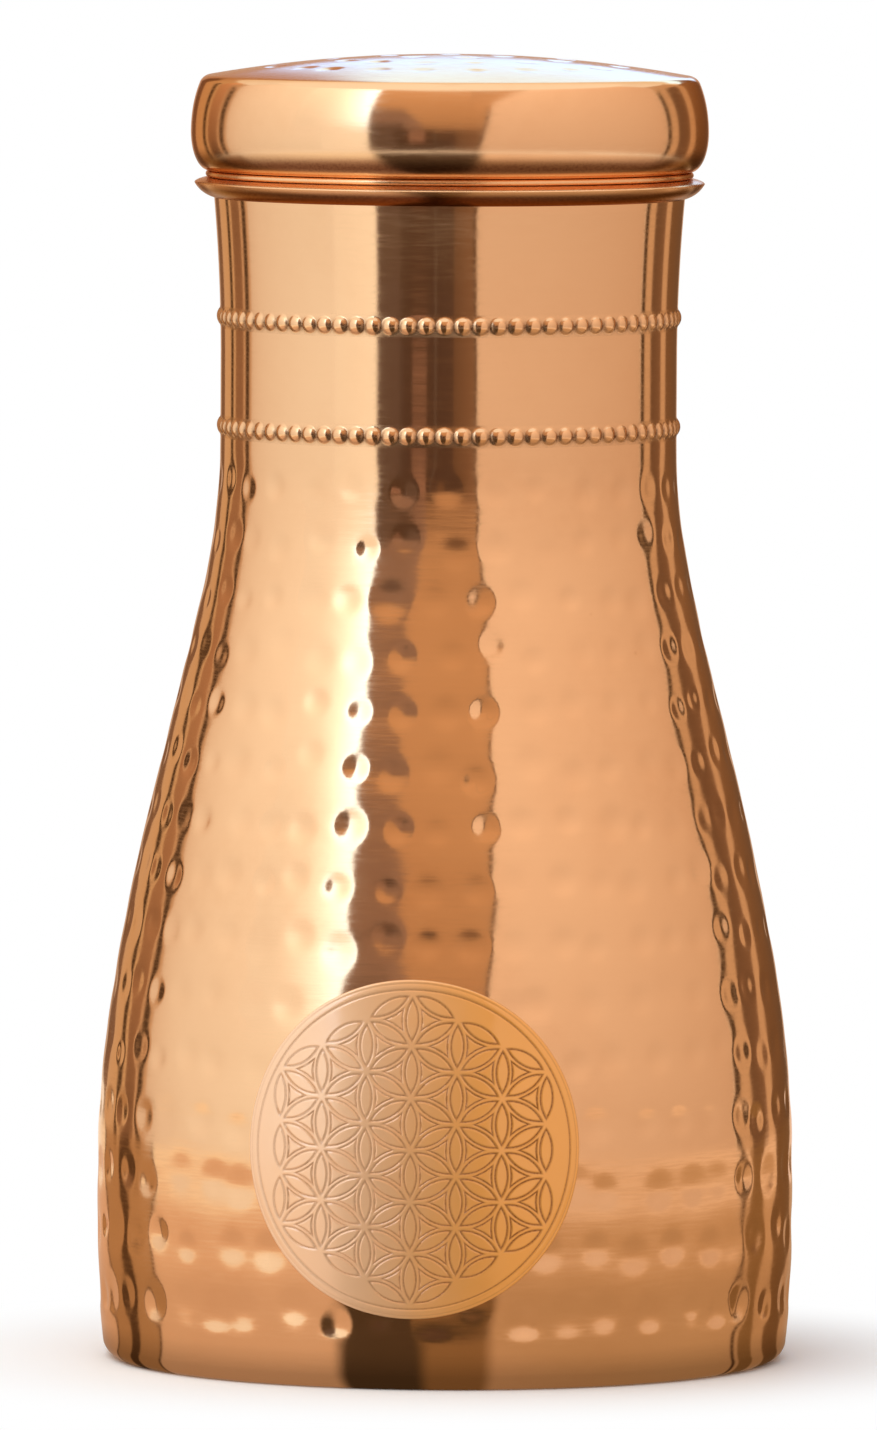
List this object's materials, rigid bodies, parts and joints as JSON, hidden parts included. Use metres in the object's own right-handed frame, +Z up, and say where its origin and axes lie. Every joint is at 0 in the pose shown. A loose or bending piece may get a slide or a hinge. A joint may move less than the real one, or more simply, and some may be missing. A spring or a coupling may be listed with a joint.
{
  "type": "lidded jug",
  "caption": "Handle-less hammered copper water jug with a beaded straight neck, a round rosette plaque on the front and a lift-off drum lid that drops into the mouth.",
  "frame": {"origin": "centre of the foot, on the surface that the jug stands on", "axes": "+Z up along the jug's axis, -Y out of the front where the medallion is, +X to the right of someone facing it"},
  "size_m": [0.1128, 0.1131, 0.2109],
  "materials": {
    "hammered_copper": "polished, hammered",
    "polished_copper": "polished, spun",
    "beaded_copper": "polished",
    "satin_copper": "satin, etched",
    "plain_copper": "dull",
    "tin_solder": "dull"
  },
  "bodies": {
    "jug": {"body_shell": "hammered_copper", "base_plate": "plain_copper", "base_seal": "tin_solder", "mouth_rim": "polished_copper", "upper_bead_band": "beaded_copper", "lower_bead_band": "beaded_copper", "medallion": "satin_copper"},
    "lid": {"lid_cap": "polished_copper", "lid_sleeve": "polished_copper"}
  },
  "joints": [
    {"name": "lid_lift", "type": "slide", "parent": "jug", "child": "lid", "axis": [0, 0, 1], "range_m": [0, 0.1]}
  ]
}
